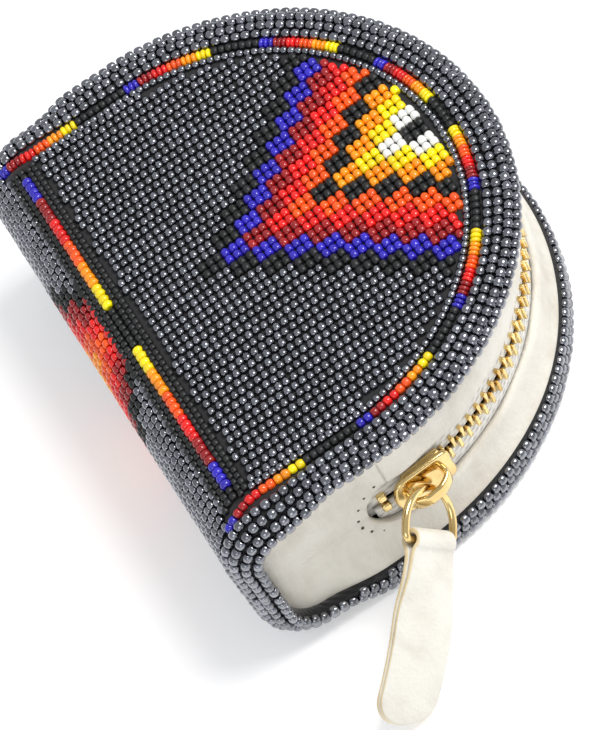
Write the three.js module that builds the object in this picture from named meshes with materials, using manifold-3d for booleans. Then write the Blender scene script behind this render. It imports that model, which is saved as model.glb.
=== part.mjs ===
// Beaded half-moon coin purse with a zip round its curved edge.
// Units are mm. X runs along the spine, Y from the spine to the round end, Z from back face to front face.
// It is drawn with its spine at Y = 0 and moved at the end.
import * as THREE from 'three';
import { mergeVertices } from 'three/addons/utils/BufferGeometryUtils.js';
import Module from 'manifold-3d';

const wasm = await Module();
wasm.setup();

// Driving dimensions: the purse
const halfWidth = 55.7; // middle of the purse to its straight sides, and the radius of the round end
const arcCentreY = 33; // spine to the centre of the round end
const thickness = 42; // back face to front face
const edgeRadius = 1.9; // how the beadwork turns over the edge of each panel
const spineRadius = 12; // how the beadwork rolls from a panel into the spine
const cornerRadius = 7; // corners between the spine and the sides, seen from above
const beadLayer = 1.8;
const stiffenerLayer = 1.2;
const liningLayer = 0.6;
const rimWidth = 7.05; // from the edge to the accent lane
const frontRim = 2.8; // how far the beadwork comes down the side from the front face
const backRim = 6.2; // how far it comes up from the back face
const spineRim = 5; // how far it reaches round from the spine
const accentWidth = 2.2; // one lane of beads laid lengthwise
const spineLineY = 8.6; // spine to the straight accent line
const gap = 0.3; // clearance between pieces that lie against each other

// Driving dimensions: the leather gusset and the zip
const gussetInset = 3.6; // the leather stands back from the beaded edge
const gussetThickness = 1.2;
const slotHalfWidth = 6;
const tapeThickness = 0.5;
const tapeWidth = 8; // each tape, from its outer edge to its teeth
const tapeOverrun = 4.5; // how far the tapes run past the round end, towards the spine
const chainHalfWidth = 2.8;
const toothRoot = 1.2; // the solid strip that joins a row's teeth
const toothReach = 0.8; // how far a tooth passes the middle of the chain
const toothPitch = 2.54;
const toothLength = 0.95; // along the chain
const toothDepth = 2.4; // through the tape
const stopLength = 1.8;
const stopOffset = 1.3; // from the centre of the round end to the stops, towards the spine

// Driving dimensions: the slider and its pull
const sliderLength = 13;
const sliderHalfWidth = 5;
const plateThickness = 1.2;
const flangeThickness = 1;
const noseOverrun = 0.8; // how far the closed slider's nose reaches past the round end
const wedgeLength = 2.7;
const wedgeWidth = 2;
const bridgeWidth = 3.2;
const bridgeThickness = 1.2;
const bridgeHalfSpan = 4.6;
const wireDiameter = 1.5;
const wireClearance = 0.55; // around the wire under the bridge
const ringOuterWidth = 15.2;
const ringCornerRadius = 1.5;
const ringLength = 9.7; // from the wire under the bridge to the wire in the tab
const ringYaw = THREE.MathUtils.degToRad(30); // the ring hangs askew in the bridge
const ringSwing = THREE.MathUtils.degToRad(49); // from straight out towards the back rim
const tabLength = 35; // from the ring's bar to the tip
const tabLayer = 1.2; // one layer of the folded leather

// Places that follow from the dimensions
const middleZ = thickness / 2;
const stiffenerInset = beadLayer + gap;
const liningInset = stiffenerInset + stiffenerLayer + gap;
const tapeInset = gussetInset + gussetThickness + gap;
const chainInset = tapeInset + tapeThickness / 2;
const toothOuterInset = chainInset - toothDepth / 2;
const toothInnerInset = chainInset + toothDepth / 2;
const chainRadius = halfWidth - chainInset;
const closedAngle = (sliderLength / 2 - noseOverrun) / chainRadius;
const plateFace = toothOuterInset - gap; // the slider's outer plate, on the side of the teeth
const plateTop = halfWidth - plateFace + plateThickness;
const ringPivotRadius = plateTop + wireClearance + wireDiameter / 2;
const farY = arcCentreY + 2 * halfWidth; // past the round end
const arcSegments = 28;
const rollSegments = 3;

// Materials
const finish = (color, roughness, metalness = 0) =>
  new THREE.MeshStandardMaterial({ color, roughness, metalness });
const gunmetal = () => finish(0x3b4049, 0.25, 0.9);
const accent = () => finish(0xc4491f, 0.3);
const board = () => finish(0x8d7b62, 0.9);
const cloth = () => finish(0x2d2d30, 0.9);
const leather = () => finish(0xe6e1d6, 0.55);
const tapeCloth = () => finish(0xdedbd2, 0.85);
const gold = () => finish(0xd0a64e, 0.2, 1);

// A closed geometry as a solid that can be cut and joined.
function solid(geometry) {
  const bare = geometry.clone();
  bare.deleteAttribute('normal');
  bare.deleteAttribute('uv');
  const merged = mergeVertices(bare, 1e-4);
  return new wasm.Manifold(new wasm.Mesh({
    numProp: 3,
    vertProperties: new Float32Array(merged.attributes.position.array),
    triVerts: new Uint32Array(merged.index.array),
  }));
}

function geometryOf(body) {
  const { vertProperties, triVerts } = body.getMesh();
  const geometry = new THREE.BufferGeometry();
  geometry.setAttribute('position', new THREE.BufferAttribute(new Float32Array(vertProperties), 3));
  geometry.setIndex(new THREE.BufferAttribute(new Uint32Array(triVerts), 1));
  geometry.computeVertexNormals();
  return geometry;
}

function piece(name, body, material) {
  const mesh = new THREE.Mesh(geometryOf(body), material);
  mesh.name = name;
  return mesh;
}

// Points of an arc in a plane, both ends included.
function arc(x, y, radius, from, to, segments) {
  return Array.from({ length: segments + 1 }, (_, i) => {
    const angle = from + (to - from) * i / segments;
    return new THREE.Vector2(x + radius * Math.cos(angle), y + radius * Math.sin(angle));
  });
}

function slab(shape, z0, z1) {
  const geometry = new THREE.ExtrudeGeometry(shape, { depth: z1 - z0, bevelEnabled: false });
  return solid(geometry.translate(0, 0, z0));
}

function box(x0, x1, y0, y1, z0, z1) {
  const geometry = new THREE.BoxGeometry(x1 - x0, y1 - y0, z1 - z0);
  return solid(geometry.translate((x0 + x1) / 2, (y0 + y1) / 2, (z0 + z1) / 2));
}

// Everything between two planes across one axis.
function layerY(y0, y1) {
  return box(-2 * halfWidth, 2 * halfWidth, y0, y1, -thickness, 2 * thickness);
}

function layerZ(z0, z1) {
  return box(-2 * halfWidth, 2 * halfWidth, -halfWidth, farY, z0, z1);
}

// The plan of the purse, moved in from its outline but running on past the spine.
function openPlan(inset, z0, z1) {
  const radius = halfWidth - inset;
  const round = arc(0, arcCentreY, radius, 0, Math.PI, arcSegments);
  const outline = [new THREE.Vector2(-radius, -halfWidth), new THREE.Vector2(radius, -halfWidth), ...round];
  return slab(new THREE.Shape(outline), z0, z1);
}

// The purse seen along its spine: straight faces and two round corners, swept across the whole width.
// The faces may be moved in by other amounts than the spine.
function spineSweep(inset, front = inset, back = inset) {
  const corner = (z, depth, from) => arc(0, 0, 1, from, from + Math.PI / 2, 6).map((p) =>
    new THREE.Vector2(spineRadius + p.x * (spineRadius - inset), z + p.y * (spineRadius - depth)));
  const outline = [
    ...corner(thickness - spineRadius, front, Math.PI / 2),
    ...corner(spineRadius, back, Math.PI),
    new THREE.Vector2(farY, back),
    new THREE.Vector2(farY, thickness - front),
  ];
  const geometry = new THREE.ExtrudeGeometry(new THREE.Shape(outline), {
    depth: 4 * halfWidth,
    bevelEnabled: false,
  });
  const axes = new THREE.Matrix4().makeBasis(
    new THREE.Vector3(0, 1, 0), new THREE.Vector3(0, 0, 1), new THREE.Vector3(1, 0, 0));
  return solid(geometry.applyMatrix4(axes).translate(-2 * halfWidth, 0, 0));
}

// The whole purse as one rounded block, moved in from its surface.
function roundedBlock(inset) {
  const core = Math.max(inset, edgeRadius);
  const side = halfWidth - core;
  const corner = cornerRadius - core;
  const outline = [
    ...arc(-side + corner, cornerRadius, corner, Math.PI, 1.5 * Math.PI, rollSegments),
    ...arc(side - corner, cornerRadius, corner, 1.5 * Math.PI, 2 * Math.PI, rollSegments),
    ...arc(0, arcCentreY, side, 0, Math.PI, arcSegments),
  ];
  const geometry = new THREE.ExtrudeGeometry(new THREE.Shape(outline), {
    depth: thickness - 2 * core,
    bevelEnabled: inset < edgeRadius,
    bevelThickness: edgeRadius - inset,
    bevelSize: edgeRadius - inset,
    bevelSegments: rollSegments,
  });
  return solid(geometry.translate(0, 0, core)).intersect(spineSweep(inset));
}

function shell(inset, depth) {
  return roundedBlock(inset).subtract(roundedBlock(inset + depth));
}

function fullPrism(inset) {
  return openPlan(inset, -thickness, 2 * thickness);
}

// One half of the purse on its side of the fold.
const halves = {
  front: layerZ(middleZ + gap / 2, 2 * thickness),
  back: layerZ(-thickness, middleZ - gap / 2),
};

// The bead layer, open where the gusset shows, cut into the rim, the accent lines, the panel and the spine.
function beadworkPieces(side) {
  const window = spineSweep(spineRim, frontRim, backRim);
  const skin = shell(0, beadLayer).subtract(window).intersect(halves[side]);
  const laneInset = rimWidth + gap;
  const fieldInset = laneInset + accentWidth + gap;
  const lineNear = spineLineY - accentWidth / 2;
  const lineFar = spineLineY + accentWidth / 2;
  const field = skin.intersect(fullPrism(fieldInset));
  const lane = skin.intersect(fullPrism(laneInset)).subtract(fullPrism(laneInset + accentWidth));
  return [
    piece(`${side}_rim_beading`, skin.subtract(fullPrism(rimWidth)), gunmetal()),
    piece(`${side}_accent_line`, lane, accent()),
    piece(`${side}_bead_panel`, field.intersect(layerY(lineFar + gap, farY)), gunmetal()),
    piece(`${side}_spine_line`, field.intersect(layerY(lineNear, lineFar)), accent()),
    piece(`${side}_spine_beadwork`, field.intersect(layerY(-halfWidth, lineNear - gap)), gunmetal()),
  ];
}

// A layer behind the beadwork: one panel with its half of the spine.
function innerLayer(name, side, inset, depth, material) {
  const edge = fullPrism(Math.max(inset + depth, tapeInset));
  return piece(name, shell(inset, depth).intersect(edge).intersect(halves[side]), material);
}

// A band that follows the purse's outline, between two insets and two heights.
function band(inset, depth, z0, z1) {
  return openPlan(inset, z0, z1).subtract(openPlan(inset + depth, z0 - 1, z1 + 1));
}

// The zip's slot through the leather, with a round end towards the spine on both sides.
function zipSlot() {
  const ends = new THREE.CylinderGeometry(slotHalfWidth, slotHalfWidth, 4 * halfWidth, 24);
  ends.rotateZ(Math.PI / 2).translate(0, arcCentreY, middleZ);
  const middle = box(-2 * halfWidth, 2 * halfWidth, arcCentreY, farY, middleZ - slotHalfWidth,
    middleZ + slotHalfWidth);
  return middle.add(solid(ends));
}

// The leather band round the edge, on one side of the fold and the slot.
function gussetBand(side) {
  const outline = roundedBlock(stiffenerInset).intersect(halves[side]);
  const leatherBand = band(gussetInset, gussetThickness, 0, thickness).intersect(outline);
  return piece(`${side}_gusset`, leatherBand.subtract(zipSlot()), leather());
}

function zipTape(name, sign) {
  const inner = middleZ + sign * (chainHalfWidth + gap);
  const outer = inner + sign * tapeWidth;
  const strip = band(tapeInset, tapeThickness, Math.min(inner, outer), Math.max(inner, outer));
  return piece(name, strip.intersect(layerY(arcCentreY - tapeOverrun, farY)), tapeCloth());
}

// A block on the zip's curve, with a corner at each angle about the centre of the round end.
function sector(angles, z0, z1) {
  const corner = (radius) => (angle) =>
    new THREE.Vector2(radius * Math.cos(angle), arcCentreY + radius * Math.sin(angle));
  const outer = angles.map(corner(halfWidth - toothOuterInset));
  const inner = angles.map(corner(halfWidth - toothInnerInset)).reverse();
  return slab(new THREE.Shape([...outer, ...inner]), Math.min(z0, z1), Math.max(z0, z1));
}

// One row of teeth as a comb: a root strip with a tooth at each pitch, half a pitch on for the front row.
function teethRow(name, sign) {
  const start = closedAngle - 1 / chainRadius;
  const pitch = toothPitch / chainRadius;
  const half = toothLength / 2 / chainRadius;
  const count = Math.floor((Math.PI - start) / pitch);
  const rootOuter = middleZ + sign * chainHalfWidth;
  const rootInner = rootOuter - sign * toothRoot;
  const tip = middleZ - sign * toothReach;
  const teeth = Array.from({ length: count }, (_, i) => {
    const centre = start + (i + (sign > 0 ? 0.75 : 0.25)) * pitch;
    return [centre - half, centre + half];
  });
  let comb = sector([start, ...teeth.flat(), start + count * pitch], rootOuter, rootInner);
  for (const tooth of teeth) {
    comb = comb.add(sector(tooth, rootInner + sign * toothRoot / 4, tip));
  }
  return piece(name, comb, gold());
}

function zipStop(name, side, z0, z1) {
  const outer = halfWidth - toothOuterInset;
  const inner = halfWidth - toothInnerInset;
  const farEnd = arcCentreY - stopOffset;
  const body = box(Math.min(side * inner, side * outer), Math.max(side * inner, side * outer),
    farEnd - stopLength, farEnd, z0, z1);
  return piece(name, body, gold());
}

// The zip's parts lie on a curve, so a flat slider face clears them by more than its nominal inset.
function flatInset(inset) {
  return halfWidth - Math.sqrt((halfWidth - inset) ** 2 - (sliderLength / 2) ** 2);
}

// Slider pieces are drawn with X outwards, Y along the zip and Z across it, about the round end's centre.
function sliderPlate(x0, x1) {
  const nose = -sliderLength / 2;
  const half = [[nose, 0.66], [nose + 2, 1], [1, 0.96], [-nose - 1, 0.88], [-nose, 0.7]];
  const upper = half.map(([y, w]) => new THREE.Vector2(w * sliderHalfWidth, y));
  const lower = half.map(([y, w]) => new THREE.Vector2(-w * sliderHalfWidth, y)).reverse();
  const geometry = new THREE.ExtrudeGeometry(new THREE.Shape([...upper, ...lower]), {
    depth: x1 - x0,
    bevelEnabled: false,
  });
  return solid(geometry.rotateY(-Math.PI / 2).translate(x1, 0, 0));
}

function sliderBody() {
  const outerFace = halfWidth - plateFace;
  const innerFace = halfWidth - flatInset(toothInnerInset) - gap;
  const tapeOuter = halfWidth - tapeInset + gap;
  const tapeInner = halfWidth - flatInset(tapeInset + tapeThickness) - gap;
  const wedgeStart = -sliderLength / 2 + 1;
  const flangeStart = -sliderLength / 2 + 3;
  const flangeEnd = sliderLength / 2 - 1;
  let body = sliderPlate(outerFace, outerFace + plateThickness);
  body = body.add(sliderPlate(innerFace - plateThickness, innerFace));
  body = body.add(box(innerFace - 0.1, outerFace + 0.1, wedgeStart, wedgeStart + wedgeLength,
    -wedgeWidth / 2, wedgeWidth / 2));
  for (const sign of [-1, 1]) {
    const z0 = sign * (chainHalfWidth + 1.5 * gap);
    const z1 = z0 + sign * flangeThickness;
    const low = Math.min(z0, z1);
    const high = Math.max(z0, z1);
    body = body.add(box(tapeOuter, outerFace + 0.1, flangeStart, flangeEnd, low, high));
    body = body.add(box(innerFace - 0.1, tapeInner, flangeStart, flangeEnd, low, high));
  }
  return body.add(sliderBridge());
}

// An arch along the slider, high enough for the ring's wire.
function sliderBridge() {
  const inside = plateTop + 2 * wireClearance + wireDiameter;
  const outside = inside + bridgeThickness;
  const innerSpan = bridgeHalfSpan - bridgeThickness;
  const foot = plateTop - plateThickness / 2;
  const outline = [
    [foot, -bridgeHalfSpan], [inside - 0.4, -bridgeHalfSpan], [outside, -innerSpan + 0.6],
    [outside, innerSpan - 0.6], [inside - 0.4, bridgeHalfSpan], [foot, bridgeHalfSpan],
    [foot, innerSpan], [inside - 1, innerSpan], [inside, innerSpan - 1],
    [inside, -innerSpan + 1], [inside - 1, -innerSpan], [foot, -innerSpan],
  ].map(([x, y]) => new THREE.Vector2(x, y));
  return slab(new THREE.Shape(outline), -bridgeWidth / 2, bridgeWidth / 2);
}

// The ring lies in its own XY plane: a half circle through the bridge, straight legs and a straight far bar.
function ringBody() {
  const radius = (ringOuterWidth - wireDiameter) / 2;
  const corner = radius - ringCornerRadius;
  const cornerY = ringLength - ringCornerRadius;
  const flat = [
    ...arc(0, radius, radius, Math.PI, 2 * Math.PI, 16),
    ...arc(corner, cornerY, ringCornerRadius, 0, Math.PI / 2, 4),
    new THREE.Vector2(0, ringLength),
    ...arc(-corner, cornerY, ringCornerRadius, Math.PI / 2, Math.PI, 4),
  ];
  const path = new THREE.CatmullRomCurve3(flat.map((p) => new THREE.Vector3(p.x, p.y, 0)), true);
  return solid(new THREE.TubeGeometry(path, 44, wireDiameter / 2, 8, true));
}

// A strip of leather folded round the ring's bar: an eye and two layers, with a round tip.
function tabBody() {
  const eyeRadius = wireDiameter / 2 + gap + 0.05;
  const eyeOuter = eyeRadius + tabLayer;
  const neck = Math.asin(tabLayer / eyeOuter);
  const halfTab = ringOuterWidth / 2 - wireDiameter - gap - 0.05;
  const side = new THREE.Shape([
    ...arc(0, 0, eyeOuter, neck, 2 * Math.PI - neck, 16),
    new THREE.Vector2(tabLength, -tabLayer),
    new THREE.Vector2(tabLength, tabLayer),
  ]);
  side.holes.push(new THREE.Path(arc(0, 0, eyeRadius, 0, -2 * Math.PI, 16).slice(0, -1)));
  const profile = new THREE.ExtrudeGeometry(side, { depth: 2 * halfTab, bevelEnabled: false });
  const axes = new THREE.Matrix4().makeBasis(
    new THREE.Vector3(0, 1, 0), new THREE.Vector3(0, 0, 1), new THREE.Vector3(1, 0, 0));
  const strip = solid(profile.applyMatrix4(axes).translate(-halfTab, 0, 0));
  const plan = new THREE.Shape([
    new THREE.Vector2(-halfTab, -eyeOuter - 1),
    new THREE.Vector2(halfTab, -eyeOuter - 1),
    ...arc(0, tabLength - halfTab, halfTab, 0, Math.PI, 16),
  ]);
  return strip.intersect(slab(plan, -2 * eyeOuter, 2 * eyeOuter));
}

function pullGroup() {
  const pull = new THREE.Group();
  const across = new THREE.Vector3(0, Math.sin(ringYaw), -Math.cos(ringYaw));
  const flat = new THREE.Vector3(0, -Math.cos(ringYaw), -Math.sin(ringYaw));
  const along = new THREE.Vector3(Math.cos(ringSwing), 0, 0).addScaledVector(flat, Math.sin(ringSwing));
  const normal = new THREE.Vector3().crossVectors(across, along);
  pull.quaternion.setFromRotationMatrix(new THREE.Matrix4().makeBasis(across, along, normal));
  pull.position.set(ringPivotRadius, 0, 0);
  pull.add(piece('pull_ring', ringBody(), gold()));
  const tab = piece('pull_tab', tabBody(), leather());
  tab.position.y = ringLength;
  pull.add(tab);
  return pull;
}

function sliderGroup() {
  const slider = new THREE.Group();
  slider.position.set(0, arcCentreY, middleZ);
  slider.rotation.z = closedAngle;
  slider.add(piece('zip_slider', sliderBody(), gold()));
  slider.add(pullGroup());
  return slider;
}

const frontHalf = new THREE.Group();
const backHalf = new THREE.Group();
frontHalf.add(
  ...beadworkPieces('front'),
  innerLayer('front_stiffener', 'front', stiffenerInset, stiffenerLayer, board()),
  innerLayer('front_lining', 'front', liningInset, liningLayer, cloth()),
  gussetBand('front'),
  zipTape('front_zip_tape', 1),
  teethRow('front_zip_teeth', 1),
);
backHalf.add(
  ...beadworkPieces('back'),
  innerLayer('back_stiffener', 'back', stiffenerInset, stiffenerLayer, board()),
  innerLayer('back_lining', 'back', liningInset, liningLayer, cloth()),
  gussetBand('back'),
  zipTape('back_zip_tape', -1),
  teethRow('back_zip_teeth', -1),
  zipStop('front_top_stop', 1, middleZ + 2 * gap, middleZ + chainHalfWidth),
  zipStop('back_top_stop', 1, middleZ - chainHalfWidth, middleZ - 2 * gap),
  zipStop('bottom_stop', -1, middleZ - chainHalfWidth, middleZ + chainHalfWidth),
);

// The origin is on the back face, at the centre of the round end.
const purse = new THREE.Group();
purse.add(backHalf, frontHalf, sliderGroup());
purse.position.y = -arcCentreY;

export default purse;
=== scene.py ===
"""A beaded half-moon coin purse lying on its back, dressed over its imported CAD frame.
Lengths are written in millimetres and turned into metres where a mesh is made."""
import math
import bmesh
import bpy
import numpy as np
from mathutils import Matrix, Vector


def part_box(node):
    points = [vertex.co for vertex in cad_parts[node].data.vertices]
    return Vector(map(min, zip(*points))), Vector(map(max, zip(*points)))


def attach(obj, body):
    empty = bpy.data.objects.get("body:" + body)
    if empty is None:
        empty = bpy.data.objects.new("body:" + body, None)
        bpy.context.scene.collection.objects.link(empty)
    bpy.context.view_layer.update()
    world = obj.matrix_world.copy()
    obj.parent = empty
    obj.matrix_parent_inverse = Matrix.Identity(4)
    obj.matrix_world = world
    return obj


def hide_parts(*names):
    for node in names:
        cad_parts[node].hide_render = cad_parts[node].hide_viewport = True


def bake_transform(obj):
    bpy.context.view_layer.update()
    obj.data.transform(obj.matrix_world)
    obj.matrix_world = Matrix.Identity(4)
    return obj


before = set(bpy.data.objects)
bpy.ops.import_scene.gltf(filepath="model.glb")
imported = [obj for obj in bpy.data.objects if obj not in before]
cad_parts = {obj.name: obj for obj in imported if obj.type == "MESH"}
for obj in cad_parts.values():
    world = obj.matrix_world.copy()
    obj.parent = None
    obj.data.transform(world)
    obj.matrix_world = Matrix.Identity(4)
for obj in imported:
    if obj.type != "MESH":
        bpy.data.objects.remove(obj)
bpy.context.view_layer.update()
rng = np.random.default_rng(20)
MM = 0.001

# ------------ camera, floor and light


def camera():
    azimuth, elevation, roll, distance = (math.radians(88.19), math.radians(55.0), math.radians(-32.5), 0.644)
    target = Vector((0.00865, -0.00068, 0.01164))
    back = Vector((math.sin(azimuth) * math.cos(elevation), -math.cos(azimuth) * math.cos(elevation),
                   math.sin(elevation)))
    level = Vector((math.cos(azimuth), math.sin(azimuth), 0))
    raised = back.cross(level)
    right = level * math.cos(roll) + raised * math.sin(roll)
    up = back.cross(right)
    data = bpy.data.cameras.new("camera")
    data.sensor_width = 36
    data.lens = 166.4
    data.clip_start, data.clip_end = 0.01, 20
    obj = bpy.data.objects.new("camera", data)
    obj.matrix_world = Matrix.Translation(target + back * distance) @ Matrix(
        (right, up, back)).transposed().to_4x4()
    bpy.context.scene.collection.objects.link(obj)
    bpy.context.scene.camera = obj


def area_light(name, direction, distance, size, power, colour=(1, 1, 1)):
    data = bpy.data.lights.new(name, "AREA")
    data.shape = "DISK"
    data.size = size
    data.energy = power
    data.color = colour
    obj = bpy.data.objects.new(name, data)
    away = Vector(direction).normalized()
    obj.location = away * distance + Vector((0, 0, 0.02))
    obj.rotation_mode = "QUATERNION"
    obj.rotation_quaternion = away.to_track_quat("Z", "Y")
    bpy.context.scene.collection.objects.link(obj)


def studio():
    world = bpy.data.worlds.new("studio")
    world.use_nodes = True
    background = world.node_tree.nodes["Background"]
    background.inputs["Color"].default_value = (0.95, 0.97, 1, 1)
    background.inputs["Strength"].default_value = 0.62
    bpy.context.scene.world = world
    area_light("key", (0.07, 0.5, 0.86), 0.75, 0.4, 4.9, (1, 0.98, 0.95))
    area_light("side", (0.9, -0.5, 0.55), 0.9, 0.5, 1.3)
    bpy.context.scene.view_settings.view_transform = "Standard"


# ------------ materials


def linear(rgb):
    return [c / 12.92 if c <= 0.04045 else ((c + 0.055) / 1.055) ** 2.4 for c in (v / 255 for v in rgb)]


class Nodes:
    """A material's nodes, added and joined in one line each."""

    def __init__(self, name):
        self.material = bpy.data.materials.new(name)
        self.material.use_nodes = True
        self.tree = self.material.node_tree
        self.shader = self.tree.nodes["Principled BSDF"]

    def set(self, **values):
        for key, value in values.items():
            self.shader.inputs[key.replace("_", " ")].default_value = value
        return self

    def link(self, source, target):
        self.tree.links.new(source, target)

    def add(self, kind, **inputs):
        node = self.tree.nodes.new(kind)
        for key, value in inputs.items():
            socket = node.inputs[key.replace("_", " ")]
            if isinstance(value, bpy.types.NodeSocket):
                self.link(value, socket)
            else:
                socket.default_value = value
        return node

    def position(self):
        return self.add("ShaderNodeTexCoord").outputs["Object"]

    def attribute(self, name):
        node = self.add("ShaderNodeAttribute")
        node.attribute_name = name
        return node.outputs["Fac"]

    def noise(self, scale, detail=3.0, vector=None, roughness=0.5):
        return self.add("ShaderNodeTexNoise", Vector=vector or self.position(), Scale=scale, Detail=detail,
                        Roughness=roughness).outputs["Fac"]

    def ramp(self, value, *stops):
        node = self.add("ShaderNodeValToRGB", Fac=value)
        while len(node.color_ramp.elements) < len(stops):
            node.color_ramp.elements.new(0.5)
        for element, (place, colour) in zip(node.color_ramp.elements, stops):
            element.position = place
            element.color = (*colour, 1)
        return node.outputs["Color"]

    def math(self, operation, a, b=0.0):
        node = self.tree.nodes.new("ShaderNodeMath")
        node.operation = operation
        for socket, value in zip(node.inputs, (a, b)):
            if isinstance(value, bpy.types.NodeSocket):
                self.link(value, socket)
            else:
                socket.default_value = value
        return node.outputs[0]

    def colour(self, output):
        self.link(output, self.shader.inputs["Base Color"])

    def rough(self, output):
        self.link(output, self.shader.inputs["Roughness"])

    def bump(self, height, distance, strength=1.0):
        node = self.add("ShaderNodeBump", Height=height, Distance=distance, Strength=strength)
        previous = self.shader.inputs["Normal"].links
        if previous:
            self.link(previous[0].from_socket, node.inputs["Normal"])
        self.link(node.outputs["Normal"], self.shader.inputs["Normal"])


def scaled(rgb, factor):
    return tuple(min(1, c * factor) for c in linear(rgb))


def bead_glass(name, rgb, roughness=0.22, spread=0.22, metallic=0.0, coat=0.35):
    """Pressed glass: each bead has its own tone, and a cloudy streak runs round it."""
    n = Nodes(name)
    cloud = n.noise(900, 2)
    tone = n.math("ADD", n.math("MULTIPLY", n.attribute("tone"), 0.8), n.math("MULTIPLY", cloud, 0.2))
    n.colour(n.ramp(tone, (0, scaled(rgb, 1 - spread)), (0.55, scaled(rgb, 1)), (1, scaled(rgb, 1 + spread))))
    n.rough(n.math("ADD", n.math("MULTIPLY", n.noise(1700, 2), 0.14), roughness - 0.07))
    n.set(Metallic=metallic, Coat_Weight=coat, Coat_Roughness=0.06)
    return n.material


def leather(name, rgb, tone_and_crease_shade, grain=1.0):
    """Full-grain leather: pebbles, fine creases, a broad random tone, and painted shade: the colour is
    slightly darker in the crease hollows and a little lighter on their ridges.
    """
    n = Nodes(name)
    place = n.position()
    pebbles = n.add("ShaderNodeTexVoronoi", Vector=place, Scale=1500.0)
    pebbles.feature = "SMOOTH_F1"
    pores = n.noise(2600, 4, place, 0.6)
    broad = n.noise(90, 3, place)
    stretched = n.add("ShaderNodeMapping", Vector=place, Scale=(1.0, 1.0, 0.28)).outputs["Vector"]
    creases = n.noise(260, 5, stretched, 0.62)
    # painted shade: the crease noise that makes the bump also darkens the colour in its hollows; the broad
    # noise is random tone
    n.colour(n.ramp(n.math("ADD", n.math("MULTIPLY", broad, 0.6), n.math("MULTIPLY", creases, 0.4)),
                    (0.3, linear(tone_and_crease_shade)), (0.55, linear(rgb)), (0.8, scaled(rgb, 1.06))))
    n.rough(n.math("ADD", n.math("MULTIPLY", pores, 0.25), 0.38))
    n.set(Sheen_Weight=0.08)
    n.bump(creases, 0.00025 * grain, 0.55)
    n.bump(pebbles.outputs["Distance"], 0.00012 * grain, 0.5)
    n.bump(pores, 0.00006 * grain, 0.6)
    return n.material


def woven(name, rgb, fuzz_and_valley_shade, threads=1500.0):
    """Plain weave: two sets of fine ribs, one across the other; the colour is painted darker in the valleys
    between the ribs as painted shade, with some random fuzz.
    """
    n = Nodes(name)
    place = n.position()
    turned = n.add("ShaderNodeMapping", Vector=place, Rotation=(0.6, 0.5, 0.785)).outputs["Vector"]
    first = n.add("ShaderNodeTexWave", Vector=turned, Scale=threads / 6.28, Distortion=0.4, Detail=1.0)
    second = n.add("ShaderNodeTexWave", Vector=place, Scale=threads / 6.28, Distortion=0.4, Detail=1.0)
    second.bands_direction = "Z"
    ribs = n.math("MAXIMUM", first.outputs["Fac"], second.outputs["Fac"])
    fuzz = n.noise(5000, 3, place)
    # painted shade: the ribs that make the bump also darken the colour between the threads; the fuzz noise is
    # random tone
    n.colour(n.ramp(n.math("ADD", n.math("MULTIPLY", ribs, 0.7), n.math("MULTIPLY", fuzz, 0.3)),
                    (0.15, linear(fuzz_and_valley_shade)), (0.85, linear(rgb))))
    n.set(Roughness=0.9, Sheen_Weight=0.3, Sheen_Roughness=0.5)
    n.bump(ribs, 0.00012, 0.7)
    return n.material


def polished(name, rgb, dull, roughness):
    """Plated metal with faint handling marks."""
    n = Nodes(name)
    smear = n.noise(160, 4)
    fine = n.noise(2600, 2)
    n.colour(n.ramp(smear, (0.3, linear(dull)), (0.6, linear(rgb))))
    n.rough(n.math("ADD", n.math("MULTIPLY", smear, 0.12), roughness - 0.05))
    n.set(Metallic=1.0)
    n.bump(fine, 0.00001, 0.4)
    return n.material


def fibre_board(name):
    n = Nodes(name)
    stretched = n.add("ShaderNodeMapping", Vector=n.position(), Scale=(1, 4, 1)).outputs["Vector"]
    fibres = n.noise(700, 6, stretched)
    n.colour(n.ramp(fibres, (0.3, linear((112, 92, 66))), (0.7, linear((168, 145, 112)))))
    n.set(Roughness=0.9)
    n.bump(fibres, 0.0002, 0.5)
    return n.material


def make_materials():
    return {
        "hematite": bead_glass("hematite_glass", (126, 128, 135), 0.2, 0.3, 1.0, 0.8),
        "black": bead_glass("matte_black_glass", (22, 23, 24), 0.45, 0.4, 0.0, 0.05),
        "blue": bead_glass("blue_glass", (44, 34, 176)),
        "dark_red": bead_glass("dark_red_glass", (150, 18, 22)),
        "red": bead_glass("red_glass", (222, 24, 20)),
        "orange": bead_glass("orange_glass", (240, 84, 12)),
        "amber": bead_glass("amber_glass", (250, 148, 4)),
        "yellow": bead_glass("yellow_glass", (250, 222, 4)),
        "white": bead_glass("white_glass", (236, 236, 232), 0.25, 0.08),
        "thread": woven("bead_thread", (30, 30, 33), (8, 8, 9), 2600.0),
        "leather": leather("gusset_leather", (216, 212, 202), (196, 189, 176), 1.7),
        "tab_leather": leather("tab_leather", (219, 216, 207), (204, 198, 186), 1.5),
        "raw_edge": leather("raw_leather_edge", (226, 208, 168), (196, 172, 126), 1.6),
        "tape": woven("zip_tape_weave", (226, 224, 218), (176, 173, 166)),
        # painted shade: this dark material stands in for the shade inside the needle holes
        "painted_hole_shade": woven("needle_hole_painted_shade", (70, 62, 54), (30, 26, 22), 3000.0),
        "lining": woven("lining_cloth", (52, 52, 58), (20, 20, 24), 1800.0),
        "board": fibre_board("stiffener_board"),
        "gold": polished("polished_gold", (236, 210, 150), (214, 182, 118), 0.13),
        "brass": polished("zip_brass", (240, 214, 150), (206, 170, 100), 0.22),
    }


# ------------ mesh making


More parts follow.
